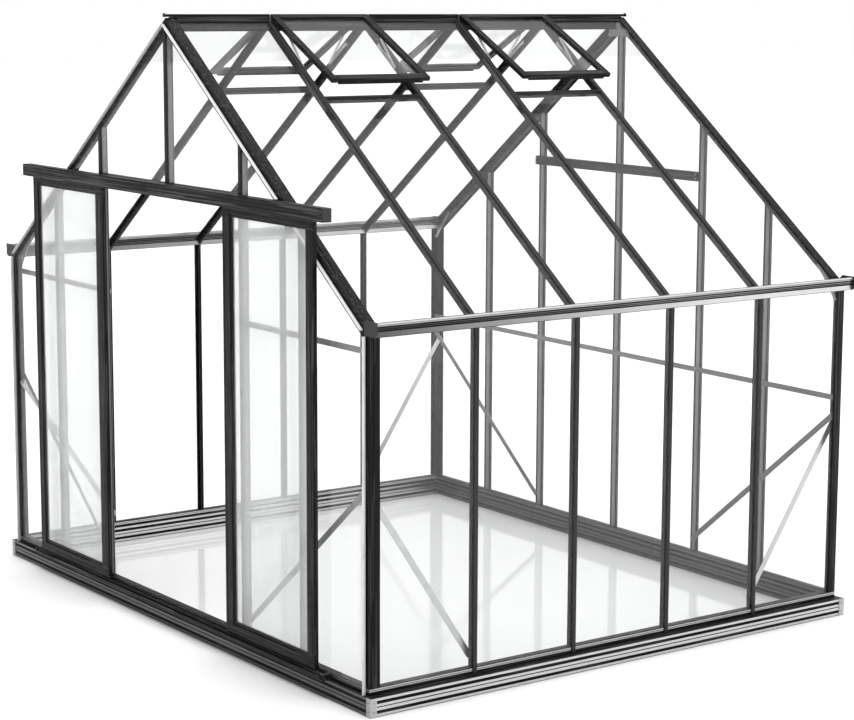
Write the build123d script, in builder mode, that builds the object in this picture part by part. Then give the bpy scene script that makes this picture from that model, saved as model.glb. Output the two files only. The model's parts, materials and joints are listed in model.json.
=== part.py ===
"""Walk-in gable greenhouse: aluminium profiles, glass panes, two sliding doors and four roof vents.

Units are millimetres. +Z is up, the door gable faces -Y and the ridge runs along Y. The doors are
drawn slid open and the vents ajar. Every node is drawn about the middle of the glasshouse itself and
is moved by MIDDLE_Y when it is written, so that the origin is the middle of the whole footprint.
"""

from build123d import *
from math import atan2, cos, degrees, hypot, radians, sin
import os

# ---------------------------------------------------------------- driving dimensions
BAY = 612.0  # pitch of the glazing bars along the sides
BAYS = 5
WALL_X = 1865.0  # outer face of the side glass, from the middle
GABLE_Y = BAY * BAYS / 2  # outer face of the gable glass
GLASS = 4.0
EDGE = 2.5  # edge of a pane, from the middle of its bar
BASE_H = 92.0
BASE_OUT_X, BASE_OUT_Y = 1912.0, 1552.0
SILL_TOP = 126.0
EAVE_Z = 1815.0  # roof glass plane at WALL_X
RIDGE_Z = 3196.0  # roof glass plane at the middle
DEPTH = 40.0  # every frame member, behind the outer face of the glass
SEAT = 4.6  # seat under the glass
MID_X = 1283.0  # gable posts between the corners and the door jambs
JAMB_X = 735.0  # door jamb posts
CORNER_EDGE = 25.0  # glass edge, from the corner line along the side walls and the roof
GUTTER_IN, GUTTER_OUT = 1824.0, 1925.0
GUTTER_LOW, GUTTER_TOP = 1791.0, 1860.0
ROOF_END = 1850.0  # lower edge of the roof glass, from the middle
RAIL_LOW, RAIL_TOP = 2300.0, 2356.0  # door rail
RAIL_BACK, RAIL_FRONT, RAIL_HALF = -1538.5, -1591.0, 1566.0
SKIRT_LOW = 2290.0  # lower edge of the door rail's front skirt
LEAF_W, LEAF_LOW, LEAF_TOP = 828.0, 138.0, 2292.0
LEAF_BACK, LEAF_FRONT = -1554.0, -1578.0
LEAF_X = 638.0  # meeting edge of an open leaf
STILE_MEET, STILE_BACK, LEAF_UP, LEAF_DOWN = 85.0, 70.0, 48.0, 58.0
ROLLER_R, AXLE_R, ROLLER_INSET = 12.0, 3.0, 110.0
HINGE_X, HINGE_Z = 22.0, 3212.0  # vent hinge line
VENT_OPEN = 8.5  # how far the vents stand open, in degrees
VENT_L, VENT_HALF, VENT_STILE, VENT_FOOT = 674.0, 304.0, 40.0, 46.0
VENT_BAYS = (-BAY, BAY)  # middle of each vent's bay
SILL_X = 535.0  # bar that a closed vent covers
STAY_ROOF = (206.0, -44.0)  # stay pivot on the roof bar, from the hinge: down the slope, out
STAY_VENT = (190.0, -24.0)  # stay pivot on the vent
PIN_R, FIT = 3.0, 0.05
REAR_BEAM = (2288.0, 2342.0)
PLATE = 3.0  # braces, gussets and cover plates
GAP = 0.4

TAN = (RIDGE_Z - EAVE_Z) / WALL_X
PITCH = degrees(atan2(RIDGE_Z - EAVE_Z, WALL_X))
COS, SIN = cos(radians(PITCH)), sin(radians(PITCH))
ENDS = (("front", -1), ("rear", 1))
SIDES = (("left", -1), ("right", 1))
BAR_YS = [-GABLE_Y + BAY * i for i in range(1, BAYS)]
SCREW_H = 2.5
REAR_Y = BASE_OUT_Y + PLATE + SCREW_H
MIDDLE_Y = (-RAIL_FRONT - REAR_Y) / 2
UP, ACROSS = (0, 0, 1), (0, 1, 0)

os.makedirs("parts", exist_ok=True)


# ---------------------------------------------------------------- places
def slope_z(x):
    """Height of the roof glass's outer face at a distance from the middle."""
    return RIDGE_Z - TAN * abs(x)


def on_roof(x, out):
    """A point above or below the roof glass, in X and Z, for the right-hand slope."""
    return x + out * SIN, slope_z(x) + out * COS


def wall_plane(side, y, z):
    """Looking down a post in a side wall: local x runs along the wall, local y points out."""
    return Plane(origin=(side * WALL_X, y, z), x_dir=(0, -side, 0), z_dir=UP)


def gable_plane(end, x, z):
    """The same for a post in a gable. end is -1 at the front and 1 at the rear."""
    return Plane(origin=(x, end * GABLE_Y, z), x_dir=(end, 0, 0), z_dir=UP)


def roof_plane(side, y, x):
    """Looking up a roof bar from a distance x from the middle: local y points out of the roof."""
    return Plane(origin=(side * x, y, slope_z(x)), x_dir=(0, -side, 0), z_dir=(-side * COS, 0, SIN))


def facing_front(y):
    """Local x is X, local y is Z, and an extrusion runs towards -Y."""
    return Plane(origin=(0, y, 0), x_dir=(1, 0, 0), z_dir=(0, -1, 0))


def facing_right(x):
    """Local x is Y, local y is Z, and an extrusion runs towards +X."""
    return Plane(origin=(x, 0, 0), x_dir=ACROSS, z_dir=(1, 0, 0))


def cutting(point, along, across, away):
    """A cutting plane through a point and two directions, facing the end that comes off."""
    normal = Vector(*along).cross(Vector(*across))
    sense = 1 if normal.dot(Vector(*away)) > 0 else -1
    return Plane(origin=point, z_dir=normal * sense)


def under_roof(side, out):
    """Cuts off what stands above a level measured from the roof glass."""
    x, z = on_roof(0, out)
    return cutting((side * x, 0, z), (side * COS, 0, -SIN), ACROSS, UP)


def upright(x, side):
    """Cuts off what lies further to one side than x."""
    return cutting((x, 0, 0), UP, ACROSS, (side, 0, 0))


# ---------------------------------------------------------------- shapes
def mirrored(half):
    """A closed outline from its right half, listed from one end of the axis to the other."""
    return half + [(-x, y) for x, y in reversed(half)]


def box_of(x0, x1, y0, y1):
    return [(x0, y0), (x1, y0), (x1, y1), (x0, y1)]


def sided(side, outline):
    return [(side * x, y) for x, y in outline]


def length_of(plane, length, outline, hole=None, cuts=()):
    """One length of profile, its ends cut back by planes that face what comes off."""
    with BuildPart() as profile:
        with BuildSketch(plane):
            with BuildLine():
                Polyline(*outline, close=True)
            make_face()
            if hole:
                with BuildLine():
                    Polyline(*hole, close=True)
                make_face(mode=Mode.SUBTRACT)
        extrude(amount=length)
        for cut in cuts:
            split(bisect_by=cut, keep=Keep.BOTTOM)
    return profile.part


def round_bar(plane, length, radius):
    with BuildPart() as bar:
        with BuildSketch(plane):
            Circle(radius)
        extrude(amount=length)
    return bar.part


def notched(body, plane, outline, depth):
    """The same piece with a pocket of one outline taken out of it."""
    with BuildPart() as piece:
        add(body)
        with BuildSketch(plane):
            with BuildLine():
                Polyline(*outline, close=True)
            make_face()
        extrude(amount=depth, mode=Mode.SUBTRACT)
    return piece.part


def drilled(body, plane, radius):
    """The same piece with one round hole right through it."""
    with BuildPart() as piece:
        add(body)
        with BuildSketch(plane):
            Circle(radius)
        extrude(amount=200, both=True, mode=Mode.SUBTRACT)
    return piece.part


def flat_between(plane, a, b, width):
    """A flat bar with square ends between two points of its plane."""
    run, rise = b[0] - a[0], b[1] - a[1]
    reach = hypot(run, rise)
    across = (-rise / reach * width / 2, run / reach * width / 2)
    corners = [
        (a[0] - across[0], a[1] - across[1]),
        (b[0] - across[0], b[1] - across[1]),
        (b[0] + across[0], b[1] + across[1]),
        (a[0] + across[0], a[1] + across[1]),
    ]
    return length_of(plane, PLATE, corners)


def write(label, pieces):
    """Joins the pieces that touch nothing into one node and saves it in the shared frame."""
    node = Compound(children=[solid for piece in pieces for solid in piece.solids()])
    node = node.moved(Location((0, MIDDLE_Y, 0)))
    node.label = label
    export_step(node, f"parts/{label}.step")


# ---------------------------------------------------------------- outlines
BAR = mirrored(
    [(8, -DEPTH), (8, -37), (1.5, -37), (1.5, -6.6), (12, -6.6), (12, -SEAT), (1.5, -SEAT), (1.5, 0.2)]
)
STRIP = mirrored([(12.5, 0.5), (12.5, 5), (9, 8), (2.5, 8), (1.5, 6.6)])
SILL = [(-DEPTH, BASE_H), (0, BASE_H), (0, 105), (-1.8, 106), (-1.8, 109), (0, 110), (0, 121)]
SILL += [(-1.8, 122), (-1.8, SILL_TOP), (-DEPTH, SILL_TOP)]
SILL_HOLE = box_of(3 - DEPTH, -5, BASE_H + 3, SILL_TOP - 3)
# the square tube with its cap over both panes, and the fin on its gable side; both axes point out
CORNER = [(-DEPTH, -DEPTH), (-SEAT, -DEPTH), (-SEAT, -24), (0.6, -24), (0.6, -60), (6, -58)]
CORNER += [(7, -54), (7, -26), (3, -20), (3, -4), (-1, 0.6), (-20, 0.6), (-20, 6), (-48, 6)]
CORNER += [(-48, 0.6), (-24, 0.6), (-24, -SEAT), (-DEPTH, -SEAT)]
FIN = box_of(-24, -20, 6, 23)
CORNER_HOLE = box_of(3 - DEPTH, -SEAT - 3, 3 - DEPTH, -SEAT - 3)


def base_face():
    """One face of the base from top to bottom, as depth and height: two ribbed bands and a line."""
    points = [(0, BASE_H)]
    for low in (63, 16):
        for z in [low + 3 * i for i in reversed(range(5))]:
            points += [(0, z + 1.6), (2.2, z + 1.6), (2.2, z), (0, z)]
        if low == 63:
            points += [(0, 49.5), (2, 49.5), (2, 45.5), (0, 45.5)]
    return points + [(0, 3), (1.5, 3), (1.5, 0)]


def base_outline(outer, inner):
    left = [(outer - depth, z) for depth, z in base_face()]
    right = [(inner + depth, z) for depth, z in reversed(base_face())]
    return left + right


def mitres(outer, inner, axis, sign):
    """The two upright cuts at the ends of one side of a rectangle, from its corner points."""
    cuts = []
    for other in (-1, 1):
        signs = (sign, other) if axis == "x" else (other, sign)
        start = (signs[0] * outer[0], signs[1] * outer[1], 0)
        line = (signs[0] * (outer[0] - inner[0]), signs[1] * (outer[1] - inner[1]), 0)
        away = (0, other, 0) if axis == "x" else (other, 0, 0)
        cuts.append(cutting(start, line, UP, away))
    return cuts


# ---------------------------------------------------------------- base and sills
base_outer, base_inner = (BASE_OUT_X, BASE_OUT_Y), (WALL_X - DEPTH, GABLE_Y - DEPTH)
for name, side in SIDES:
    profile = sided(side, base_outline(base_outer[0], base_inner[0]))
    hollow = sided(side, box_of(base_inner[0] + 5, base_outer[0] - 5, 3, BASE_H - 3))
    cuts = mitres(base_outer, base_inner, "x", side)
    write(f"base_{name}", [length_of(facing_front(BASE_OUT_Y), 2 * BASE_OUT_Y, profile, hollow, cuts)])
for name, end in ENDS:
    profile = sided(end, base_outline(base_outer[1], base_inner[1]))
    hollow = sided(end, box_of(base_inner[1] + 5, base_outer[1] - 5, 3, BASE_H - 3))
    cuts = mitres(base_outer, base_inner, "y", end)
    write(f"base_{name}", [length_of(facing_right(-BASE_OUT_X), 2 * BASE_OUT_X, profile, hollow, cuts)])

CAP_LEG = 33.0
caps = []
for sx in (-1, 1):
    for sy in (-1, 1):
        leg = [(PLATE, PLATE), (PLATE, -CAP_LEG), (0, -CAP_LEG), (0, 0), (-CAP_LEG, 0), (-CAP_LEG, PLATE)]
        outline = [(sx * (BASE_OUT_X + a), sy * (BASE_OUT_Y + b)) for a, b in leg]
        caps.append(length_of(Plane.XY, BASE_H, outline))
write("base_corner_caps", caps)

sill_outer, sill_inner = (WALL_X, GABLE_Y), base_inner
sills = []
for _, side in SIDES:
    profile = [(side * (WALL_X + out), z) for out, z in SILL]
    hollow = [(side * (WALL_X + out), z) for out, z in SILL_HOLE]
    cuts = mitres(sill_outer, sill_inner, "x", side)
    sills.append(length_of(facing_front(GABLE_Y), 2 * GABLE_Y, profile, hollow, cuts))
for _, end in ENDS:
    profile = [(end * (GABLE_Y + out), z) for out, z in SILL]
    hollow = [(end * (GABLE_Y + out), z) for out, z in SILL_HOLE]
    cuts = mitres(sill_outer, sill_inner, "y", end)
    sills.append(length_of(facing_right(-WALL_X), 2 * WALL_X, profile, hollow, cuts))
write("sills", sills)

# ---------------------------------------------------------------- posts and rafters
POST_LOW, POST_TOP = SILL_TOP, GUTTER_LOW
posts, fins = [], []
for sx in (-1, 1):
    for sy in (-1, 1):
        outline = [(sx * (WALL_X + a), sy * (GABLE_Y + b)) for a, b in CORNER]
        hollow = [(sx * (WALL_X + a), sy * (GABLE_Y + b)) for a, b in CORNER_HOLE]
        posts.append(length_of(Plane.XY.offset(POST_LOW), POST_TOP - POST_LOW, outline, hollow))
        outline = [(sx * (WALL_X + a), sy * (GABLE_Y + b)) for a, b in FIN]
        fins.append(length_of(Plane.XY.offset(BASE_H + 1), POST_TOP - BASE_H - 1, outline))
write("corner_posts", posts)

for name, side in SIDES:
    posts = [length_of(wall_plane(side, y, POST_LOW), POST_TOP - POST_LOW, BAR) for y in BAR_YS]
    write(f"side_posts_{name}", posts)

RIDGE_LOW = 3130.0  # underside of the ridge bar
for name, end in ENDS:
    posts = []
    for x in (-MID_X, -JAMB_X, JAMB_X, MID_X):
        cuts = [under_roof(1 if x > 0 else -1, -DEPTH)]
        posts.append(length_of(gable_plane(end, x, POST_LOW), RIDGE_Z, BAR, cuts=cuts))
    foot = RAIL_TOP if end < 0 else POST_LOW
    posts.append(length_of(gable_plane(end, 0, foot), RIDGE_LOW - foot, BAR))
    write(f"gable_posts_{name}", posts)

SLOPE = WALL_X / COS
at_gutter = Plane(origin=(0, 0, GUTTER_LOW), z_dir=(0, 0, -1))
rafters = []
for _, side in SIDES:
    for _, end in ENDS:
        flip = -side * end
        outline = [(flip * w, u) for u, w in CORNER]
        hollow = [(flip * w, u) for u, w in CORNER_HOLE]
        cuts = [upright(side * GUTTER_IN, side), upright(0.2 * side, -side), at_gutter]
        plane = roof_plane(side, end * GABLE_Y, WALL_X)
        rafters.append(length_of(plane, 1.1 * SLOPE, outline, hollow, cuts))
        fin = length_of(plane, 1.1 * SLOPE, [(flip * w, u) for u, w in FIN], cuts=cuts)
        if end < 0:
            passing = box_of(-WALL_X, WALL_X, SKIRT_LOW - 4, RAIL_TOP + 4)
            fin = notched(fin, facing_front(RAIL_BACK + 5), passing, 40)
        fins.append(fin)
write("gable_rafters", rafters)
write("gable_fins", fins)

BAR_TOP = 24.4  # upper end of the roof bars, at the ridge bar
for name, side in SIDES:
    cuts = [upright(side * GUTTER_IN, side), upright(side * BAR_TOP, -side)]
    bars = [length_of(roof_plane(side, y, WALL_X), 1.1 * SLOPE, BAR, cuts=cuts) for y in BAR_YS]
    write(f"roof_bars_{name}", bars)

# ---------------------------------------------------------------- ridge
CREST_TOP, CREST_LOW = 3219.0, 3205.0
SHOULDER = [(30, slope_z(30) + 7), (16, slope_z(16) + 9)]
ridge_half = [(14, RIDGE_LOW), (14, RIDGE_LOW + 4), (2, RIDGE_LOW + 4), (2, slope_z(2) - 10)]
ridge_half += [(24, slope_z(24) - 10), (24, slope_z(24) - 5.8), (6, slope_z(6) - 5.8)]
ridge_half += [(6, slope_z(6) + 0.8), (30, slope_z(30) + 0.8)] + SHOULDER + [(12, CREST_LOW)]
RIDGE_HALF_Y, CREST_HALF_Y = 1469.5, 1532.0
with BuildPart() as ridge_bar:
    add(length_of(facing_front(RIDGE_HALF_Y), 2 * RIDGE_HALF_Y, mirrored(ridge_half)))
    crest_half = [(12, CREST_LOW), (9, CREST_TOP - 3), (4, CREST_TOP)]
    add(length_of(facing_front(CREST_HALF_Y), 2 * CREST_HALF_Y, mirrored(crest_half)))
write("ridge_bar", [ridge_bar.part])

lugs = []
for _, side in SIDES:
    for bay in VENT_BAYS:
        for hand in (-1, 1):
            y = bay + hand * (VENT_HALF + 3.5) + 2.5
            outline = SHOULDER + [(14, HINGE_Z + 2), (18, HINGE_Z + 7), (26, HINGE_Z + 7), (30, HINGE_Z + 2)]
            lug = length_of(facing_front(y), 5, sided(side, outline))
            hole = Plane(origin=(side * HINGE_X, y, HINGE_Z), z_dir=ACROSS)
            lugs.append(drilled(lug, hole, 4 + FIT))

# ---------------------------------------------------------------- gutters
ribs = []
for i in range(4):
    z = 1826.0 + 5.5 * i
    ribs += [(1918, z), (1920.5, z + 1), (1920.5, z + 3.5), (1918, z + 4.5)]
gutter = [(GUTTER_IN, GUTTER_LOW), (1918, GUTTER_LOW), (1918, 1818), (1915.5, 1819), (1915.5, 1823)]
gutter += [(1918, 1824)] + ribs + [(GUTTER_OUT, 1851), (GUTTER_OUT, GUTTER_TOP), (1908, GUTTER_TOP)]
gutter += [(1908, 1857), (1914, 1857), (1914, GUTTER_LOW + 4), (GUTTER_IN + 4, GUTTER_LOW + 4)]
gutter += [(GUTTER_IN + 4, slope_z(GUTTER_IN + 4) - 10), (1848, slope_z(1848) - 10)]
gutter += [(1848, slope_z(1848) - 5.8), (GUTTER_IN, slope_z(GUTTER_IN) - 5.8)]
for name, side in SIDES:
    write(f"gutter_{name}", [length_of(facing_front(GABLE_Y), 2 * GABLE_Y, sided(side, gutter))])

end_caps = []
cap_in = GUTTER_IN + GAP
for _, end in ENDS:
    for _, side in SIDES:
        near = end * (GABLE_Y + PLATE / 2) + PLATE / 2
        cap = [(cap_in, GUTTER_LOW), (1921, GUTTER_LOW), (1936, 1803), (1936, 1864), (1848, 1864)]
        cap.append((cap_in, 1846))
        end_caps.append(length_of(facing_front(near), PLATE, sided(side, cap)))
    near = end * (CREST_HALF_Y + PLATE / 2) + PLATE / 2
    cap = mirrored([(14, CREST_LOW - 1), (14, CREST_TOP - 6), (8, CREST_TOP + 5)])
    end_caps.append(length_of(facing_front(near), PLATE, cap))
for _, side in SIDES:
    low = RAIL_HALF if side > 0 else -RAIL_HALF - 5
    with BuildPart() as rail_cap:
        add(length_of(facing_right(low), 5, box_of(RAIL_FRONT, RAIL_BACK, SKIRT_LOW, RAIL_TOP)))
        outer = rail_cap.faces().sort_by(Axis.X)[-1 if side > 0 else 0]
        fillet(outer.edges(), 3)
    end_caps.append(rail_cap.part)
write("profile_end_caps", end_caps)

# ---------------------------------------------------------------- glazing strips
STRIP_LOW = 94.0
STRIP_CUT = -48.6
strips = []
for _, side in SIDES:
    strips += [length_of(wall_plane(side, y, STRIP_LOW), POST_TOP - STRIP_LOW, STRIP) for y in BAR_YS]
for _, end in ENDS:
    for x in (-MID_X, -JAMB_X, JAMB_X, MID_X):
        cuts = [under_roof(1 if x > 0 else -1, STRIP_CUT)]
        strips.append(length_of(gable_plane(end, x, STRIP_LOW), RIDGE_Z, STRIP, cuts=cuts))
    foot = RAIL_LOW + 30 if end < 0 else STRIP_LOW
    cuts = [under_roof(1, STRIP_CUT), under_roof(-1, STRIP_CUT)]
    strips.append(length_of(gable_plane(end, 0, foot), RIDGE_Z, STRIP, cuts=cuts))
write("wall_glazing_strips", strips)
strips = []
for _, side in SIDES:
    cuts = [upright(side * ROOF_END, side), upright(side * 32.0, -side)]
    strips += [length_of(roof_plane(side, y, WALL_X + 20), 1.1 * SLOPE, STRIP, cuts=cuts) for y in BAR_YS]
write("roof_glazing_strips", strips)

# ---------------------------------------------------------------- beams, flats and braces
HEADER_HALF = JAMB_X - 12.5
beams = []
header = box_of(-GABLE_Y + SEAT, -GABLE_Y + DEPTH, RAIL_LOW, RAIL_TOP)
header_hole = box_of(-GABLE_Y + SEAT + 3, -GABLE_Y + DEPTH - 3, RAIL_LOW + 3, RAIL_TOP - 3)
beams.append(length_of(facing_right(-HEADER_HALF), 2 * HEADER_HALF, header, header_hole))
beam_y = GABLE_Y - DEPTH
low, top = REAR_BEAM
beam = box_of(beam_y - 30, beam_y, low, top)
beam_hole = box_of(beam_y - 27, beam_y - 3, low + 3, top - 3)
beams.append(length_of(facing_right(-JAMB_X - 10), 2 * JAMB_X + 20, beam, beam_hole))
write("cross_beams", beams)

INSIDE_Y = GABLE_Y - DEPTH  # inner faces of the gable frames
INSIDE_X = WALL_X - DEPTH
FRONT_FLAT_Z, REAR_FLAT_Z, FLAT_H = 1709.0, 1203.0, 30.0
flats = []
for _, side in SIDES:
    low, top = FRONT_FLAT_Z - FLAT_H / 2, FRONT_FLAT_Z + FLAT_H / 2
    outline = sided(side, box_of(JAMB_X - 6, WALL_X - 12, low, top))
    flats.append(length_of(facing_front(-INSIDE_Y + PLATE), PLATE, outline))
rear_flat = box_of(12 - WALL_X, WALL_X - 12, REAR_FLAT_Z - FLAT_H / 2, REAR_FLAT_Z + FLAT_H / 2)
flats.append(length_of(facing_front(INSIDE_Y), PLATE, rear_flat))
write("gable_flats", flats)

BRACE_W = 32.0
GABLE_BRACE = ((WALL_X - 20, 1104.0), (JAMB_X, 195.0))
SIDE_BRACE = ((GABLE_Y - 20, 1062.0), (GABLE_Y - BAY, 172.0))
braces = []
for _, end in ENDS:
    for _, side in SIDES:
        y = INSIDE_Y if end > 0 else -INSIDE_Y + PLATE
        a, b = sided(side, GABLE_BRACE)
        braces.append(flat_between(facing_front(y), a, b, BRACE_W))
        x = INSIDE_X - PLATE if side > 0 else -INSIDE_X
        a, b = sided(end, SIDE_BRACE)
        braces.append(flat_between(facing_right(x), a, b, BRACE_W))
write("diagonal_braces", braces)

APEX_X = 90.0  # half width of the plate under the ridge
gussets = []
for _, end in ENDS:
    y = INSIDE_Y if end > 0 else -INSIDE_Y + PLATE
    for _, side in SIDES:
        far = 1690.0
        with BuildPart() as gusset:
            with BuildSketch(facing_front(y)):
                with BuildLine():
                    foot_in, foot_out = (side * 1829, 1730), (side * 1850, 1730)
                    top_in = (side * far, slope_z(far) - 42)
                    top_out = (side * (far + 10), slope_z(far + 10) - 22)
                    Line(foot_in, foot_out)
                    ThreePointArc(foot_out, (side * 1806, 1806), top_out)
                    Line(top_out, top_in)
                    ThreePointArc(top_in, (side * 1787, 1795), foot_in)
                make_face()
            extrude(amount=PLATE)
        gussets.append(gusset.part)
    apex_z = slope_z(APEX_X)
    apex_half = [(22, 3090), (APEX_X, apex_z - 44), (APEX_X, apex_z - 14), (6, slope_z(6) - 14)]
    gussets.append(length_of(facing_front(y), PLATE, mirrored(apex_half)))
write("gusset_plates", gussets)

# ---------------------------------------------------------------- bolts and screws
def bolt(point, outward, reach=4.0):
    """A hexagon head lying on a face."""
    with BuildPart() as head:
        with BuildSketch(Plane(origin=point, z_dir=outward)):
            RegularPolygon(radius=5.8, side_count=6)
        extrude(amount=reach)
    return head.part


bolts = []
for sx in (-1, 1):
    for sy in (-1, 1):
        for z in (26.0, 70.0):
            for plane in (
                Plane(origin=(sx * (BASE_OUT_X + PLATE), sy * (BASE_OUT_Y - 17), z), z_dir=(sx, 0, 0)),
                Plane(origin=(sx * (BASE_OUT_X - 17), sy * (BASE_OUT_Y + PLATE), z), z_dir=(0, sy, 0)),
            ):
                bolts.append(round_bar(plane, SCREW_H, 4.5))
bolt_y = INSIDE_Y - PLATE
bolt_x = INSIDE_X - PLATE
for _, end in ENDS:
    points = [(WALL_X - 27, 1098.0), (JAMB_X + 11, 204.0), (1841, 1742)]
    points += [(1706, slope_z(1706) - 26), (14, 3100), (76, slope_z(76) - 30)]
    for _, side in SIDES:
        bolts += [bolt((side * x, end * bolt_y, z), (0, -end, 0)) for x, z in points]
        side_points = [(GABLE_Y - 29, 1048.0), (GABLE_Y - BAY + 8, 184.0)]
        bolts += [bolt((side * bolt_x, end * y, z), (-side, 0, 0)) for y, z in side_points]
for _, side in SIDES:
    bolts += [bolt((side * x, -bolt_y, FRONT_FLAT_Z), ACROSS) for x in (JAMB_X, MID_X, WALL_X - 25)]
    bolts += [bolt((side * x, bolt_y, REAR_FLAT_Z), (0, -1, 0)) for x in (JAMB_X, MID_X, WALL_X - 25)]
    beam_ends = (REAR_BEAM[0] + 14, REAR_BEAM[1] - 14)
    bolts += [bolt((side * JAMB_X, beam_y - 30, z), (0, -1, 0)) for z in beam_ends]
write("frame_bolts", bolts)

# ---------------------------------------------------------------- fixed glass
PANE_LOW = SILL_TOP + GAP
PANE_TOP = GUTTER_LOW - GAP


def bay_edges(i):
    """The two edges of the glass in a bay of the side walls or the roof."""
    low = -GABLE_Y + BAY * i + (EDGE if i else CORNER_EDGE)
    high = -GABLE_Y + BAY * (i + 1) - (EDGE if i < BAYS - 1 else CORNER_EDGE)
    return low, high


panes = []
for _, side in SIDES:
    outline = sided(side, box_of(WALL_X - GLASS, WALL_X, PANE_LOW, PANE_TOP))
    for low, high in [bay_edges(i) for i in range(BAYS)]:
        panes.append(length_of(facing_front(high), high - low, outline))
write("side_glass", panes)

GABLE_EDGE = WALL_X - CORNER_EDGE - 1
for name, end in ENDS:
    start = -GABLE_Y + GLASS if end < 0 else GABLE_Y
    panes = []
    spans = [(MID_X + EDGE, GABLE_EDGE, PANE_LOW), (JAMB_X + EDGE, MID_X - EDGE, PANE_LOW)]
    spans += [(EDGE, JAMB_X - EDGE, RAIL_LOW + 30 if end < 0 else PANE_LOW)]
    for _, side in SIDES:
        for x0, x1, foot in spans:
            pane = box_of(x0, x1, foot, RIDGE_Z)
            if x1 > GUTTER_IN:
                clear = GUTTER_IN - GAP
                pane = [(x0, foot), (x1, foot), (x1, PANE_TOP), (clear, PANE_TOP)]
                pane += [(clear, RIDGE_Z), (x0, RIDGE_Z)]
            cuts = [under_roof(side, -27)]
            panes.append(length_of(facing_front(start), GLASS, sided(side, pane), cuts=cuts))
    write(f"gable_glass_{name}", panes)

panes = []
for _, side in SIDES:
    for i in range(BAYS):
        low, high = bay_edges(i)
        vented = abs((low + high) / 2) in [abs(y) for y in VENT_BAYS]
        top = SILL_X + 8.5 if vented else 10.0
        outline = [on_roof(top, -GLASS), on_roof(ROOF_END, -GLASS), on_roof(ROOF_END, 0), on_roof(top, 0)]
        panes.append(length_of(facing_front(high), high - low, sided(side, outline)))
write("roof_glass", panes)

VENT_SILL_HALF = BAY / 2 - 12.5
sills = []
for _, side in SIDES:
    for bay in VENT_BAYS:
        section = [on_roof(SILL_X - 7, -27), on_roof(SILL_X + 7, -27), on_roof(SILL_X + 7, 8)]
        section += [on_roof(SILL_X - 7, 8)]
        hollow = [on_roof(SILL_X - 4, -24), on_roof(SILL_X + 4, -24), on_roof(SILL_X + 4, 5)]
        hollow += [on_roof(SILL_X - 4, 5)]
        plane = facing_front(bay + VENT_SILL_HALF)
        sills.append(length_of(plane, 2 * VENT_SILL_HALF, sided(side, section), sided(side, hollow)))
write("vent_sills", sills)

# ---------------------------------------------------------------- door rail and track
rail = [(RAIL_BACK, RAIL_LOW), (-1560, RAIL_LOW), (-1560, RAIL_LOW + 6), (RAIL_BACK - 3, RAIL_LOW + 6)]
rail += [(RAIL_BACK - 3, RAIL_TOP - 4), (RAIL_FRONT + 5, RAIL_TOP - 4), (RAIL_FRONT + 5, RAIL_LOW + 6)]
rail += [(-1572, RAIL_LOW + 6), (-1572, RAIL_LOW), (RAIL_FRONT + 5, RAIL_LOW), (RAIL_FRONT + 5, SKIRT_LOW)]
rail += [(RAIL_FRONT + 2, SKIRT_LOW), (RAIL_FRONT, SKIRT_LOW + 2)]
for z in (RAIL_LOW + 14, RAIL_LOW + 32):
    rail += [(RAIL_FRONT, z), (RAIL_FRONT + 2, z + 1), (RAIL_FRONT + 2, z + 3), (RAIL_FRONT, z + 4)]
rail += [(RAIL_FRONT, RAIL_TOP - 6), (RAIL_FRONT + 5, RAIL_TOP), (RAIL_BACK, RAIL_TOP)]
write("door_rail", [length_of(facing_right(-RAIL_HALF), 2 * RAIL_HALF, rail)])

TRACK_TOP, TRACK_HALF = 124.0, 1530.0
track = [(RAIL_BACK, BASE_H), (-1586, BASE_H), (-1586, 112), (-1583, 112), (-1583, BASE_H + 3)]
track += [(-1574, BASE_H + 3), (-1574, TRACK_TOP), (-1571, TRACK_TOP), (-1571, BASE_H + 3)]
track += [(-1561, BASE_H + 3), (-1561, TRACK_TOP), (-1558, TRACK_TOP), (-1558, BASE_H + 3)]
track += [(RAIL_BACK, BASE_H + 3)]
stops = []
for _, side in SIDES:
    x = TRACK_HALF if side > 0 else -TRACK_HALF - 14
    stops.append(length_of(facing_right(x), 14, box_of(-1582, RAIL_BACK, BASE_H, TRACK_TOP)))
write("door_track", [length_of(facing_right(-TRACK_HALF), 2 * TRACK_HALF, track)] + stops)

# ---------------------------------------------------------------- door leaves
LEAF_MID = (LEAF_BACK + LEAF_FRONT) / 2
T = (LEAF_BACK - LEAF_FRONT) / 2
GROOVE = 2.8
TONGUE = 2.0


def stile_outline(width):
    """Across a stile from its outer edge to the glass, against its depth about the leaf's middle."""
    points = [(0, -T), (14, -T), (15, 1.5 - T), (18, 1.5 - T), (19, -T), (width - 18, -T)]
    points += [(width - 12, 5 - T), (width, 5 - T), (width, -GROOVE), (width - 9, -GROOVE)]
    points += [(width - 9, GROOVE), (width, GROOVE), (width, T - 5), (width - 12, T - 5)]
    return points + [(width - 18, T), (0, T)]


def leaf_cuts(x0, x1, inset0, inset1, upright_member):
    """Mitres of one member of a leaf, at its four corners; a hair is taken off each for the joint."""
    cuts = []
    for x, inset, sx in ((x0, inset0, 1), (x1, -inset1, -1)):
        for z, rise, sz in ((LEAF_LOW, LEAF_DOWN, 1), (LEAF_TOP, -LEAF_UP, -1)):
            line = (inset, 0, rise)
            away = (0, 0, -sz) if upright_member else (-sx, 0, 0)
            hair = 0.1
            start = (x, 0, z + sz * hair) if upright_member else (x + sx * hair, 0, z)
            cuts.append(((sx, sz), cutting(start, line, ACROSS, away)))
    return cuts


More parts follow.
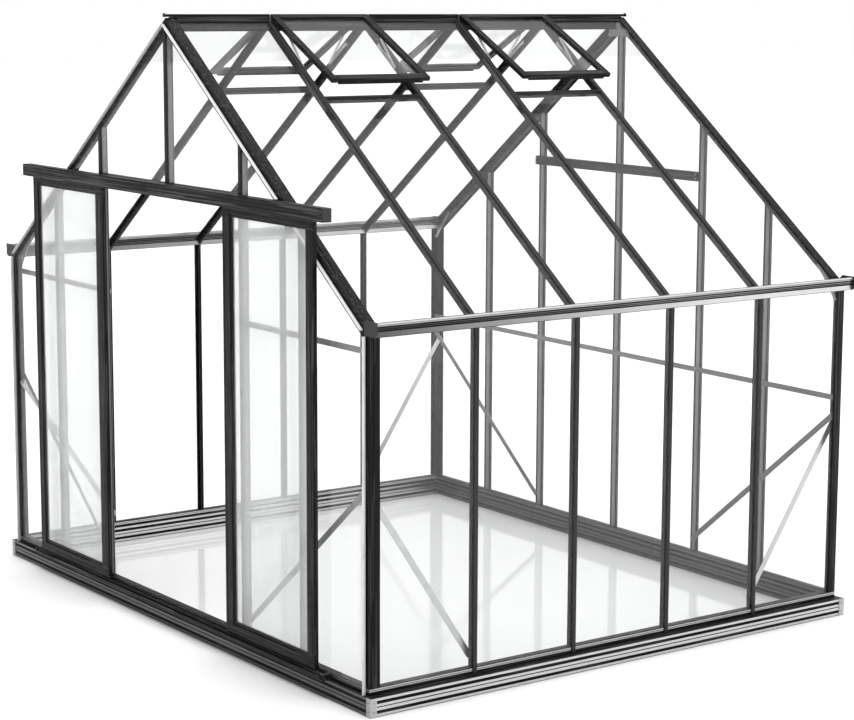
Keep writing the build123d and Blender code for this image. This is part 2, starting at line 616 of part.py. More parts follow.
for name, side in SIDES:
    x0, x1 = sorted((side * LEAF_X, side * (LEAF_X + LEAF_W)))
    left_w, right_w = (STILE_MEET, STILE_BACK) if side > 0 else (STILE_BACK, STILE_MEET)
    members = []
    for width, sx, x in ((left_w, 1, x0), (right_w, -1, x1)):
        outline = [(x + sx * a, LEAF_MID + b) for a, b in stile_outline(width)]
        cuts = [cut for key, cut in leaf_cuts(x0, x1, left_w, right_w, True) if key[0] == sx]
        members.append(length_of(Plane.XY.offset(LEAF_LOW), LEAF_TOP - LEAF_LOW, outline, cuts=cuts))
    for width, sz, z in ((LEAF_DOWN, 1, LEAF_LOW), (LEAF_UP, -1, LEAF_TOP)):
        outline = [(LEAF_MID + b, z + sz * a) for a, b in stile_outline(width)]
        cuts = [cut for key, cut in leaf_cuts(x0, x1, left_w, right_w, False) if key[1] == sz]
        members.append(length_of(facing_right(x0), LEAF_W, outline, cuts=cuts))
    tongue = box_of(LEAF_MID - TONGUE, LEAF_MID + TONGUE, 104, LEAF_LOW)
    members.append(length_of(facing_right(x0 + 4), LEAF_W - 8, tongue))
    write(f"door_frame_{name}", members)

    pane = box_of(x0 + left_w - 8, x1 - right_w + 8, LEAF_LOW + LEAF_DOWN - 8, LEAF_TOP - LEAF_UP + 8)
    write(f"door_glass_{name}", [length_of(facing_front(LEAF_MID + GLASS / 2), GLASS, pane)])

    hangers = []
    wheel_z = RAIL_LOW + 6.3 + ROLLER_R
    for i, x in enumerate((x0 + ROLLER_INSET, x1 - ROLLER_INSET)):
        with BuildPart() as hanger:
            foot = box_of(LEAF_MID - 10, LEAF_MID + 10, LEAF_TOP, LEAF_TOP + PLATE)
            add(length_of(facing_right(x - 25), 50, foot))
            blade = box_of(LEAF_MID - 2, LEAF_MID + 2, LEAF_TOP + PLATE, wheel_z + 9)
            add(length_of(facing_right(x - 20), 40, blade))
        axle = Plane(origin=(x, LEAF_MID, wheel_z), z_dir=ACROSS)
        hangers.append(drilled(hanger.part, axle, AXLE_R + FIT))
        with BuildPart() as roller:
            add(round_bar(axle.offset(-15), 30, AXLE_R))
            add(round_bar(axle.offset(-13.5), 7, ROLLER_R))
            add(round_bar(axle.offset(6.5), 7, ROLLER_R))
        write(f"door_roller_{name}_{i + 1}", [roller.part])
    write(f"door_hangers_{name}", hangers)

# ---------------------------------------------------------------- roof vents
def vent_place(side, down, out, open_by=VENT_OPEN):
    """X and Z of a point of a vent, from its hinge: down its slope and out of it."""
    angle = radians(PITCH - open_by)
    x = HINGE_X + down * cos(angle) + out * sin(angle)
    return side * x, HINGE_Z - down * sin(angle) + out * cos(angle)


def vent_length(side, outline, y_from, y_to, open_by=VENT_OPEN):
    """A length along Y whose outline is given in a vent's own directions."""
    points = [vent_place(side, down, out, open_by) for down, out in outline]
    return length_of(facing_front(y_to), y_to - y_from, points)


def pin_plane(side, down, out, y, open_by):
    x, z = vent_place(side, down, out, open_by)
    return Plane(origin=(x, y, z), z_dir=ACROSS)


VENT_BACK, VENT_FACE = -15.0, 9.0
GLASS_OUT = -8.0
NECK = [(0, -2), (4, -2), (4, VENT_BACK), (26, VENT_BACK), (30, -8.6), (20, -8.6), (20, -3.4)]
TOP_RAIL = NECK + [(30, -3.4), (30, VENT_FACE), (8, VENT_FACE), (4, 4), (4, 2), (0, 2)]
FOOT_IN = VENT_L - VENT_FOOT
FOOT_RAIL = [(FOOT_IN + 6, VENT_FACE), (FOOT_IN, 3), (FOOT_IN, -3.4), (FOOT_IN + 10, -3.4)]
FOOT_RAIL += [(FOOT_IN + 10, -8.6)]
FOOT_RAIL += [(FOOT_IN, -8.6), (FOOT_IN + 4, VENT_BACK), (VENT_L - 2, VENT_BACK)]
FOOT_RAIL += [(VENT_L - 2, -24), (VENT_L + 1, -24), (VENT_L + 1, VENT_FACE)]
STILE = [(0, VENT_BACK), (VENT_STILE - 4, VENT_BACK), (VENT_STILE, -8.6), (VENT_STILE - 10, -8.6)]
STILE += [(VENT_STILE - 10, -3.4), (VENT_STILE, -3.4), (VENT_STILE, 3), (VENT_STILE - 6, VENT_FACE)]
STILE += [(18, VENT_FACE), (17, VENT_FACE - 2), (13, VENT_FACE - 2), (12, VENT_FACE), (0, VENT_FACE)]
# layers of a stay, from the middle of its bay: vent bracket, link B, link A, roof bracket
VENT_LAYER, LINK_B, LINK_A, ROOF_LAYER = (277.0, 281.0), (282.0, 285.0), (286.0, 289.0), (289.4, 304.5)
LINK_W = 14.0
OPEN_PIVOT = 0.5  # clearance around the elbow pin, which is not jointed in the linkage


def layer(bay, hand, near, far):
    return sorted((bay + hand * near, bay + hand * far))


def link(side, low, high, a, b):
    """A slotted flat link between two pivots, as a piece of even width with round ends."""
    start, stop = Vector(a[0], a[1]), Vector(b[0], b[1])
    with BuildPart() as bar:
        with BuildSketch(facing_front(high)):
            SlotCenterPoint(((a[0] + b[0]) / 2, (a[1] + b[1]) / 2), b, LINK_W)
            third = (stop - start) * 0.25
            first, last = start + third, stop - third
            SlotCenterPoint(
                ((first.X + last.X) / 2, (first.Y + last.Y) / 2), (last.X, last.Y), 5, mode=Mode.SUBTRACT
            )
        extrude(amount=high - low)
    return bar.part


for side_name, side in SIDES:
    for bay in VENT_BAYS:
        label = f"{side_name}_{1 if bay < 0 else 2}"
        inner = VENT_HALF - VENT_STILE - 0.1
        with BuildPart() as top_rail:
            add(vent_length(side, TOP_RAIL, bay - inner, bay + inner))
            hinge = Plane(origin=(side * HINGE_X, bay, HINGE_Z), z_dir=ACROSS)
            add(round_bar(hinge.offset(-VENT_HALF - 7), 2 * VENT_HALF + 14, 4.0))
        members = [top_rail.part, vent_length(side, FOOT_RAIL, bay - inner, bay + inner)]
        angle = PITCH - VENT_OPEN
        for hand in (-1, 1):
            x, z = vent_place(side, 6.0, 0)
            run = (side * cos(radians(angle)), 0, -sin(radians(angle)))
            plane = Plane(origin=(x, bay + hand * VENT_HALF, z), x_dir=(0, -hand, 0), z_dir=run)
            flip = 1 if plane.y_dir.Z > 0 else -1
            members.append(length_of(plane, VENT_L - 6, [(a, flip * b) for a, b in STILE]))
        for hand in (-1, 1):
            down, out = STAY_VENT
            lo, hi = layer(bay, hand, *VENT_LAYER)
            with BuildPart() as bracket:
                ear = [(down - 10, VENT_BACK), (down + 10, VENT_BACK)]
                ear += [(down + 7, out - 7), (down - 7, out - 7)]
                add(vent_length(side, ear, lo, hi))
                lo, hi = layer(bay, hand, VENT_LAYER[0], LINK_B[1] + 0.4)
                add(round_bar(pin_plane(side, down, out, lo, VENT_OPEN), hi - lo, PIN_R))
            members.append(bracket.part)
        write(f"vent_frame_{label}", members)

        pane_half = VENT_HALF - VENT_STILE + 8
        pane = box_of(22, FOOT_IN + 8, GLASS_OUT, GLASS_OUT + GLASS)
        write(f"vent_glass_{label}", [vent_length(side, pane, bay - pane_half, bay + pane_half)])

        roof_pin = vent_place(side, *STAY_ROOF, open_by=0)
        vent_pin = vent_place(side, *STAY_VENT)
        hinge_line = (side * HINGE_X, HINGE_Z)
        elbow = (roof_pin[0] + vent_pin[0] - hinge_line[0], roof_pin[1] + vent_pin[1] - hinge_line[1])
        links_a, links_b = [], []
        for hand in (-1, 1):
            lo, hi = layer(bay, hand, *LINK_A)
            at_roof = pin_plane(side, *STAY_ROOF, lo, 0)
            arm = drilled(link(side, lo, hi, roof_pin, elbow), at_roof, PIN_R + FIT)
            at_elbow = Plane(origin=(elbow[0], lo, elbow[1]), z_dir=ACROSS)
            links_a.append(drilled(arm, at_elbow, PIN_R + OPEN_PIVOT))
            lo, hi = layer(bay, hand, *LINK_B)
            at_vent = pin_plane(side, *STAY_VENT, lo, VENT_OPEN)
            arm = drilled(link(side, lo, hi, vent_pin, elbow), at_vent, PIN_R + FIT)
            lo, hi = layer(bay, hand, LINK_B[0], LINK_A[1] + 0.8)
            with BuildPart() as arm_b:
                add(arm)
                add(round_bar(Plane(origin=(elbow[0], lo, elbow[1]), z_dir=ACROSS), hi - lo, PIN_R))
            links_b.append(arm_b.part)
            lo, hi = layer(bay, hand, *ROOF_LAYER)
            with BuildPart() as pivot:
                down, out = STAY_ROOF
                block = box_of(down - 12, down + 12, out - 9, out + 9)
                add(vent_length(side, block, lo, hi, 0))
                lo, hi = layer(bay, hand, LINK_A[0] - 0.4, ROOF_LAYER[1])
                add(round_bar(pin_plane(side, down, out, lo, 0), hi - lo, PIN_R))
            lugs.append(pivot.part)
        write(f"stay_link_a_{label}", links_a)
        write(f"stay_link_b_{label}", links_b)
write("vent_pivots", lugs)
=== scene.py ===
"""Looks for the walk-in greenhouse: powder-coated profiles, glazing strips, clear glass, bare metal.

Lengths and heights are in metres, noise scales are features per metre, and levels are linear greys.
"""

import json
import math

import bpy
from mathutils import Matrix, Vector


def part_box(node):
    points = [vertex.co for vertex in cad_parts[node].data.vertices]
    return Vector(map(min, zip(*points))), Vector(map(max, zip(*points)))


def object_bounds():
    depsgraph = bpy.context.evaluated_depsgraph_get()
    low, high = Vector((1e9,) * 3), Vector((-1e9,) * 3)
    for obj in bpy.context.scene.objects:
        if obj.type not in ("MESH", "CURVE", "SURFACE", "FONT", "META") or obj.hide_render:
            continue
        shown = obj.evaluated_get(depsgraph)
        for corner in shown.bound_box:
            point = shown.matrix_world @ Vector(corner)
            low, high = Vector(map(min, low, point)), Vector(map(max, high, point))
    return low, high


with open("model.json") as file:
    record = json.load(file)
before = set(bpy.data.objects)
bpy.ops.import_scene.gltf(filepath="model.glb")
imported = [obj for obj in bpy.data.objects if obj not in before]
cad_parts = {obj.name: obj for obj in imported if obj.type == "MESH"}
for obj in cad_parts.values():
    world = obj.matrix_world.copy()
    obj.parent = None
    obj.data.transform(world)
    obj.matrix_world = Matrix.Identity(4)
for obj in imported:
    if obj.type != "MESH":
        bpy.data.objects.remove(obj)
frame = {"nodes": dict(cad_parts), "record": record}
cad_low, cad_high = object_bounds()
nodes = frame["nodes"]
slots = {s["node"]: s["material_slot"] for s in frame["record"]["subparts"]}
X, Y, Z = range(3)


# ------------------------------------------------------------------ node trees
MIX_COLOUR_INPUTS = (0, 6, 7)  # the sockets that a Mix node set to colours uses
MIX_COLOUR_OUTPUT = 2

WHITE = (1.0, 1.0, 1.0)
COOL = (1.0, 1.0, 1.01)
COOLER = (1.0, 1.0, 1.02)
WARM = (1.0, 1.0, 0.98)
BLUISH = (1.0, 1.02, 1.05)
DUSTY = (1.0, 0.97, 0.92)
IVORY = (1.0, 0.99, 0.95)

# parts of a noise's range, to be spread over what it drives
BULK = (0.3, 0.7)
UPPER = (0.35, 0.7)

TURNED_TO_Y = (0.4, 0.8)  # the Y of a face's normal, from where it counts as partly to wholly Y


def rgba(level, tint=WHITE):
    return tuple(level * t for t in tint) + (1.0,)


class Tree:
    """A node tree whose sockets are filled with a value or joined to another socket."""

    def __init__(self, owner):
        owner.use_nodes = True
        self.owner = owner
        self.nodes = owner.node_tree.nodes
        self.links = owner.node_tree.links
        self.nodes.clear()

    def put(self, socket, value):
        if isinstance(value, bpy.types.NodeSocket):
            self.links.new(value, socket)
        else:
            socket.default_value = value

    def add(self, kind, settings=None, **values):
        """A new node, with its own settings and then its sockets by name, an underscore for a space."""
        node = self.nodes.new(kind)
        for key, value in (settings or {}).items():
            setattr(node, key, value)
        for key, value in values.items():
            self.put(node.inputs[key.replace("_", " ")], value)
        return node

    def fill(self, node, values, places=(0, 1, 2)):
        """Fills a node's sockets by their places, for those that share a name."""
        for place, value in zip(places, values):
            self.put(node.inputs[place], value)
        return node

    def math(self, operation, a, b=0.0, clamp=False):
        node = self.add("ShaderNodeMath", {"operation": operation, "use_clamp": clamp})
        return self.fill(node, (a, b)).outputs[0]

    def spread(self, value, low, high, to_low=0.0, to_high=1.0):
        """Maps a range of a value onto another, held at both ends."""
        node = self.add("ShaderNodeMapRange", Value=value, From_Min=low, From_Max=high)
        self.put(node.inputs["To Min"], to_low)
        self.put(node.inputs["To Max"], to_high)
        return node.outputs["Result"]

    def mix(self, factor, a, b):
        """Colour a where the factor is 0, b where it is 1."""
        node = self.add("ShaderNodeMix", {"data_type": "RGBA"})
        return self.fill(node, (factor, a, b), MIX_COLOUR_INPUTS).outputs[MIX_COLOUR_OUTPUT]

    def both(self, factor, a, b):
        """Shader a where the factor is 0, b where it is 1."""
        return self.fill(self.add("ShaderNodeMixShader"), (factor, a, b)).outputs[0]

    def finish(self, shader, kind="ShaderNodeOutputMaterial"):
        self.add(kind, Surface=shader)
        return self.owner


class Material(Tree):
    """A material's tree, over the coordinates of the whole greenhouse."""

    def __init__(self, name):
        super().__init__(bpy.data.materials.new(name))
        self.coord = self.add("ShaderNodeTexCoord").outputs["Object"]
        self.place = self.add("ShaderNodeSeparateXYZ", Vector=self.coord).outputs
        mirrored = self.math("ABSOLUTE", self.place["X"])
        folded = self.add("ShaderNodeCombineXYZ", X=mirrored, Y=self.place["Y"], Z=self.place["Z"])
        self.folded = folded.outputs[0]  # the left half laid over the right

    def noise(self, scale, detail=2.0, roughness=0.5, stretch=None, turn=0.0):
        """stretch scales the three axes; a turn about Y comes first, the same on both slopes."""
        where = self.folded if turn else self.coord
        if stretch:
            turned = self.add("ShaderNodeMapping", Vector=where, Rotation=(0, turn, 0), Scale=stretch)
            where = turned.outputs[0]
        made = self.add("ShaderNodeTexNoise", Vector=where, Scale=scale, Detail=detail)
        self.put(made.inputs["Roughness"], roughness)
        return made.outputs["Fac"]

    def looks(self, axis):
        """How far a face looks along an axis, from -1 to 1."""
        normal = self.add("ShaderNodeNewGeometry").outputs["Normal"]
        return self.add("ShaderNodeSeparateXYZ", Vector=normal).outputs[axis]

    def sideways(self):
        """1 where a face looks along X, 0 where it looks along Y."""
        return self.spread(self.math("ABSOLUTE", self.looks("Y")), *TURNED_TO_Y, 1.0, 0.0)

    def bump(self, height, distance, strength, under=None):
        made = self.add("ShaderNodeBump", Height=height, Distance=distance, Strength=strength)
        if under is not None:
            self.put(made.inputs["Normal"], under)
        return made.outputs["Normal"]

    def surface(self, colour, roughness, **others):
        made = self.add("ShaderNodeBsdfPrincipled", Base_Color=colour, Roughness=roughness, **others)
        return made.outputs[0]


# ------------------------------------------------------------------ draw lines
SLOPE = math.radians(36.52)  # pitch of the roof
LONG, FINE = 0.02, 1.0  # how a noise is scaled along its lines and across them

# the ways that lines can run: a noise's stretch, and its turn about Y
RUNS = {
    "x": ((LONG, FINE, FINE), 0.0),
    "y": ((FINE, LONG, FINE), 0.0),
    "z": ((FINE, FINE, LONG), 0.0),
    "level": ((LONG, LONG, FINE), 0.0),
    "slope": ((LONG, FINE, FINE), -SLOPE),
}

# how deep the panes sit in the frames round them
DOOR_REBATE, VENT_REBATE = 0.009, 0.008

# heights between which a door leaf has only its stiles
door_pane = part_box("door_glass_left")
DOOR_CLEAR = (door_pane[0][Z] + DOOR_REBATE, door_pane[1][Z] - DOOR_REBATE)

# along Y: the middle between a slope's two vents, how far from it each vent's own middle
# is, and how far from there a vent has only its rails
near_pane, far_pane = (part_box(f"vent_glass_right_{k}") for k in (1, 2))
near_middle, far_middle = ((low[Y] + high[Y]) / 2 for low, high in (near_pane, far_pane))
VENT_CENTRE = (near_middle + far_middle) / 2
VENT_OFFSET = (far_middle - near_middle) / 2
VENT_CLEAR = (near_pane[1][Y] - near_pane[0][Y]) / 2 - VENT_REBATE


def drawn(t, way, scale, detail=3.0, roughness=0.6):
    """Noise drawn out into lines along a profile; on doors and vents they turn at the rails."""

    def lines(run):
        return t.noise(scale, detail, roughness, *RUNS[run])

    if way in RUNS:
        return lines(way)
    if way == "door":
        along_stile, along_rail = lines("z"), lines("x")
        below = t.math("LESS_THAN", t.place["Z"], DOOR_CLEAR[0])
        above = t.math("GREATER_THAN", t.place["Z"], DOOR_CLEAR[1])
        at_rail = t.math("ADD", below, above)
    else:
        along_stile, along_rail = lines("slope"), lines("y")
        from_centre = t.math("ABSOLUTE", t.math("SUBTRACT", t.place["Y"], VENT_CENTRE))
        from_middle = t.math("ABSOLUTE", t.math("SUBTRACT", from_centre, VENT_OFFSET))
        at_rail = t.math("LESS_THAN", from_middle, VENT_CLEAR)
    stile_part = t.math("MULTIPLY", along_stile, t.math("SUBTRACT", 1.0, at_rail))
    return t.math("ADD", t.math("MULTIPLY", along_rail, at_rail), stile_part)


# ------------------------------------------------------------------ materials
COAT_SPECULAR = 0.12
COAT_ROUGHNESS = (0.34, 0.48)
BAND_ROUGHNESS = (0.26, 0.36)
DUST_SHARE = 0.04
BAND_SHADE_LEVEL = 0.18  # painted shade: how bright a highlight strip is left where it looks along Y, as a part of its level elsewhere
# the level of painted shade at the dark end of the gutter's painted sheen
SHEEN_SHADE_LEVEL = 0.02


def coated(name, level, way, flank=0.0, bands=(), metal=0.62, metallic=1.0, fade=None):
    """Black powder coat on an extrusion: orange peel, faint draw lines, dust on what faces up.

    flank is how pale the faces that look along X are painted, a painted highlight.
    bands are heights between which the extrusion is satin metal of the level metal and
    metallic, pale as painted highlight strips. fade is two places along Y between which
    those strips go from painted shade to their whole brightness, a painted sheen, and the height up to
    which it does.
    """
    t = Material(name)
    draw = drawn(t, way, 420.0)
    rib_highlight_lines = drawn(t, way, 105.0, detail=1.0, roughness=0.4)
    peel = t.noise(1400.0)
    cloud = t.noise(5.0, detail=5.0, roughness=0.6)
    speck = t.noise(260.0, roughness=0.7)
    patch = t.noise(18.0, detail=4.0, roughness=0.65)

    settled = t.math("MULTIPLY", t.spread(t.looks("Z"), 0.35, 1.0), t.spread(cloud, *UPPER))
    settled = t.math("MULTIPLY", settled, t.spread(speck, 0.35, 0.6, 0.4, 1.0))
    deep, worn = rgba(level * 0.8, BLUISH), rgba(level * 1.25)
    line, rib_highlight, dust = rgba(level * 2.6), rgba(level * 12.0), rgba(0.34, DUSTY)
    colour = t.mix(t.spread(cloud, *BULK), deep, worn)
    colour = t.mix(t.spread(draw, *UPPER, 0.0, 0.5), colour, line)
    # painted highlight: thin pale lines along the profile, as if its ribs catch the light
    colour = t.mix(t.spread(rib_highlight_lines, 0.58, 0.62), colour, rib_highlight)
    colour = t.mix(t.math("MULTIPLY", settled, DUST_SHARE), colour, dust)
    if flank:
        # painted highlight: faces that look along X are made paler, as if lit from that side
        pale = t.math("MULTIPLY", t.sideways(), t.spread(draw, *BULK, 0.7, 1.0))
        colour = t.mix(pale, colour, rgba(flank))

    normal = t.bump(peel, distance=0.00012, strength=0.5)
    normal = t.bump(draw, distance=0.0003, strength=0.35, under=normal)
    roughness = t.spread(patch, *BULK, *COAT_ROUGHNESS)
    coat = t.surface(colour, roughness, Normal=normal, Specular_IOR_Level=COAT_SPECULAR)
    if not bands:
        return t.finish(coat)

    height = t.place["Z"]
    within = 0.0
    for low, high in bands:
        above = t.math("GREATER_THAN", height, low)
        below = t.math("LESS_THAN", height, high)
        within = t.math("ADD", within, t.math("MULTIPLY", above, below), clamp=True)
    # the strips between the ribs are pale metal over the black coat, a painted highlight; their tone
    # varies along the draw lines
    polished, drawn_dull = rgba(metal, COOL), rgba(metal * 0.8, COOL)
    colour = t.mix(t.spread(draw, *BULK), polished, drawn_dull)
    # painted shade: strips that look along Y are made dark
    colour = t.mix(t.sideways(), rgba(metal * BAND_SHADE_LEVEL), colour)
    # painted sheen: the pale strips darken towards one end along Y, in place of a reflection that
    # changes along the gutter
    if fade:
        shaded_end, lit_end, top = fade
        sheen_share = t.spread(t.place["Y"], shaded_end, lit_end, 0.05, 1.0)
        sheen_share = t.math("MAXIMUM", sheen_share, t.math("GREATER_THAN", height, top))
        colour = t.mix(sheen_share, rgba(SHEEN_SHADE_LEVEL), colour)
    roughness = t.spread(cloud, *BULK, *BAND_ROUGHNESS)
    bright = t.surface(colour, roughness, Normal=normal, Metallic=metallic)
    return t.finish(t.both(within, coat, bright))


def satin(name, level, way):
    """Satin aluminium, as pale as its level: even, soft, with fine draw lines and faint handling marks;
    the fin's pale level is a painted highlight.
    """
    t = Material(name)
    draw = drawn(t, way, 600.0)
    cloud = t.noise(14.0, detail=5.0, roughness=0.6)
    even, handled, line = rgba(level, COOL), rgba(level * 0.86, COOLER), rgba(level * 0.8)
    colour = t.mix(t.spread(cloud, *UPPER), even, handled)
    colour = t.mix(t.spread(draw, *UPPER, 0.0, 0.4), colour, line)
    normal = t.bump(draw, distance=0.0002, strength=0.3)
    roughness = t.spread(cloud, *BULK, 0.35, 0.5)
    return t.finish(t.surface(colour, roughness, Normal=normal, Metallic=0.35))


def rubbery(name, level, way):
    """Extruded black glazing strip: dull, faintly grained, greyer where it has weathered."""
    t = Material(name)
    draw = drawn(t, way, 300.0)
    cloud = t.noise(9.0, detail=4.0, roughness=0.6)
    grain = t.noise(900.0, detail=3.0, roughness=0.6)
    fresh, weathered, line = rgba(level), rgba(level * 2.2, WARM), rgba(level * 4)
    colour = t.mix(t.spread(cloud, *UPPER), fresh, weathered)
    colour = t.mix(t.spread(draw, 0.5, 0.75, 0.0, 0.4), colour, line)
    normal = t.bump(grain, distance=0.0002, strength=0.5)
    normal = t.bump(draw, distance=0.0004, strength=0.4, under=normal)
    roughness = t.spread(cloud, *BULK, 0.48, 0.62)
    return t.finish(t.surface(colour, roughness, Normal=normal))


def bare(name, level, way, roughness=(0.28, 0.45), shaded=0.5):
    """Bare aluminium or zinc, drawn along its length, with dull patches; on the braces, a painted mid
    grey over the frame's black.

    shaded is how much painted shade darkens it where it looks along Y, from 0 to 1.
    """
    t = Material(name)
    draw = drawn(t, way, 700.0, detail=4.0, roughness=0.7)
    cloud = t.noise(24.0, detail=5.0, roughness=0.65)
    bright, dull = rgba(level, COOL), rgba(level * 0.72, COOLER)
    line, shade = rgba(level * 0.55), rgba(level * 0.1)
    colour = t.mix(t.spread(cloud, 0.35, 0.65, 0.0, 0.5), bright, dull)
    colour = t.mix(t.spread(draw, *BULK, 0.0, 0.35), colour, line)
    # painted shade: faces that look along Y are darkened towards the shade colour
    colour = t.mix(t.sideways(), t.mix(1.0 - shaded, shade, colour), colour)
    normal = t.bump(draw, distance=0.0002, strength=0.4)
    return t.finish(t.surface(colour, t.spread(draw, *BULK, *roughness), Normal=normal, Metallic=1.0))


def plastic(name, level, tint=WHITE, roughness=0.45):
    """Moulded plastic with a fine spark-eroded grain."""
    t = Material(name)
    cloud = t.noise(40.0, detail=4.0, roughness=0.6)
    grain = t.noise(1500.0, detail=3.0, roughness=0.7)
    dark, light = rgba(level * 0.85, tint), rgba(level * 1.15, tint)
    colour = t.mix(t.spread(cloud, *BULK), dark, light)
    normal = t.bump(grain, distance=0.0002, strength=0.6)
    worn = t.spread(cloud, *BULK, roughness - 0.06, roughness + 0.08)
    return t.finish(t.surface(colour, worn, Normal=normal))


CLEAR_TINT = (0.99, 0.993, 0.992, 1.0)
FILM_TINT = (0.96, 0.965, 0.965, 1.0)
FILM_THROUGH = 0.75  # the part of the film's light that goes through it
MIRROR_ROUGHNESS = 0.03
SHEEN_LEAST, SHEEN_GAIN, SHEEN_POWER = 0.02, 0.6, 5.0  # mirror share: head on, and towards edge on


def pane(name, veil, patchy=0.25):
    """Clear horticultural glass with a thin pale film that comes and goes in soft upright streaks.

    veil is the film's share, and patchy how far that varies, as a part of it.
    """
    t = Material(name)
    streak = t.noise(3.0, detail=4.0, roughness=0.6, stretch=(1.0, 1.0, 0.35))
    film = t.spread(streak, *BULK, veil * (1 - patchy), veil * (1 + patchy))
    clear = t.add("ShaderNodeBsdfTransparent", Color=CLEAR_TINT).outputs[0]
    lit = t.add("ShaderNodeBsdfDiffuse", Color=FILM_TINT).outputs[0]
    through = t.add("ShaderNodeBsdfTranslucent", Color=FILM_TINT).outputs[0]
    body = t.both(film, clear, t.both(FILM_THROUGH, lit, through))
    ripple = t.bump(t.noise(2.2), distance=0.002, strength=0.2)
    mirror = t.add("ShaderNodeBsdfGlossy", Color=rgba(1.0), Roughness=MIRROR_ROUGHNESS, Normal=ripple)
    facing = t.add("ShaderNodeLayerWeight", Blend=0.5).outputs["Facing"]
    sheen = t.math("MULTIPLY", t.math("POWER", facing, SHEEN_POWER), SHEEN_GAIN)
    return t.finish(t.both(t.math("ADD", sheen, SHEEN_LEAST), body, mirror.outputs[0]))


# ------------------------------------------------------------------ materials onto the frame
BLACKS = {"frame_black": 0.0035, "post_black": 0.003, "door_black": 0.0035, "vent_black": 0.003}

# heights of the faces between the ribs, as part.py draws them; they are painted pale metal, as painted
# highlight strips
BASE_BANDS = ((0.003, 0.0155), (0.0310, 0.0450), (0.0500, 0.0625), (0.0785, 0.0905))
SILL_BANDS = ((0.1065, 0.1130), (0.1150, 0.1215))
GUTTER_BANDS = ((1.7935, 1.8175), (1.8255, 1.8270), (1.8335, 1.8350), (1.8430, 1.8600))
# the gutter's painted sheen: where along Y it goes from painted shade to bright, and the height above
# which it stays bright
GUTTER_SHEEN_FADE = (-1.7, 0.6, 1.84)

# the slots whose finish is the same on every node
PLAIN = {
    # the fin is the frame's black metal painted pale, a painted highlight on a face lit from the side
    "fin_metal": (satin, {"level": 0.86, "way": "z"}),
    "corner_cap": (satin, {"level": 0.5, "way": "z"}),
    # the braces are the frame's black metal painted mid grey, between painted light on their lit faces
    # and painted shade on the rest
    "brace_metal": (bare, {"level": 0.55, "way": "x", "shaded": 0.7}),
    "gusset_metal": (bare, {"level": 0.62, "way": "z", "shaded": 0.55}),
    "stay_metal": (bare, {"level": 0.8, "way": "y", "shaded": 0.0}),
    "fastener": (bare, {"level": 0.45, "way": "z", "roughness": (0.25, 0.4)}),
    "end_cap": (plastic, {"level": 0.008}),
    "roller": (plastic, {"level": 0.7, "tint": IVORY, "roughness": 0.35}),
    "glass": (pane, {"veil": 0.02}),
    "door_glass": (pane, {"veil": 0.34, "patchy": 0.05}),
}


def direction(node):
    """The way a node's profiles run, for its draw lines."""
    if node.startswith("roof_") or node == "gable_rafters":
        return "slope"
    if node in ("base_front", "base_rear", "door_rail", "door_track", "cross_beams", "gable_flats"):
        return "x"
    if node.startswith(("gutter", "ridge", "base_left", "base_right", "vent_sills")):
        return "y"
    if node.startswith("vent_frame"):
        return "vent"
    if node.startswith("door_frame"):
        return "door"
    if node == "sills":
        return "level"
    return "z"


def finish_of(node, slot):
    """A material's name, its maker and the maker's settings."""
    way = direction(node)
    if slot in PLAIN:
        return slot, *PLAIN[slot]
    if slot == "glazing_strip":
        return f"strip_{way}", rubbery, {"level": 0.006, "way": way}
    if slot == "door_rail":
        return f"rail_{way}", coated, {"level": 0.006, "way": way}
    if slot == "gutter_black":
        # the gutter's faces between its ribs are painted pale as highlight strips, with a painted sheen
        # along Y
        highlight_faces = {"bands": GUTTER_BANDS, "metal": 0.5, "metallic": 0.8, "fade": GUTTER_SHEEN_FADE}
        return f"gutter_{way}", coated, {"level": 0.005, "way": way, **highlight_faces}
    black = {"level": BLACKS[slot], "way": way}
    if node.startswith("base_"):
        return f"base_{way}", coated, {**black, "bands": BASE_BANDS}
    if node == "sills":
        return "sills", coated, {**black, "bands": SILL_BANDS, "metallic": 0.3}
    if node.startswith("gable_posts"):
        # the posts get a painted highlight on their faces that look along X
        return "gable_posts", coated, {**black, "flank": 0.30}
    return f"{slot}_{way}", coated, black


materials = {}
for node, slot in slots.items():
    name, maker, settings = finish_of(node, slot)
    if name not in materials:
        materials[name] = maker(name, **settings)
    for material_slot in nodes[node].material_slots:
        material_slot.material = materials[name]

# ------------------------------------------------------------------ floor
FLOOR_DROP = 0.0005  # just under the base, so that the two don't share a plane
FLOOR_SPANS = 40  # its size, in greenhouses
FOOTPRINT_INSET = 0.03  # how far within the CAD box the polished part ends
POLISH_SPECULAR = 0.9
MATT_ROUGHNESS = 0.8  # added to the polished roughness outside the footprint


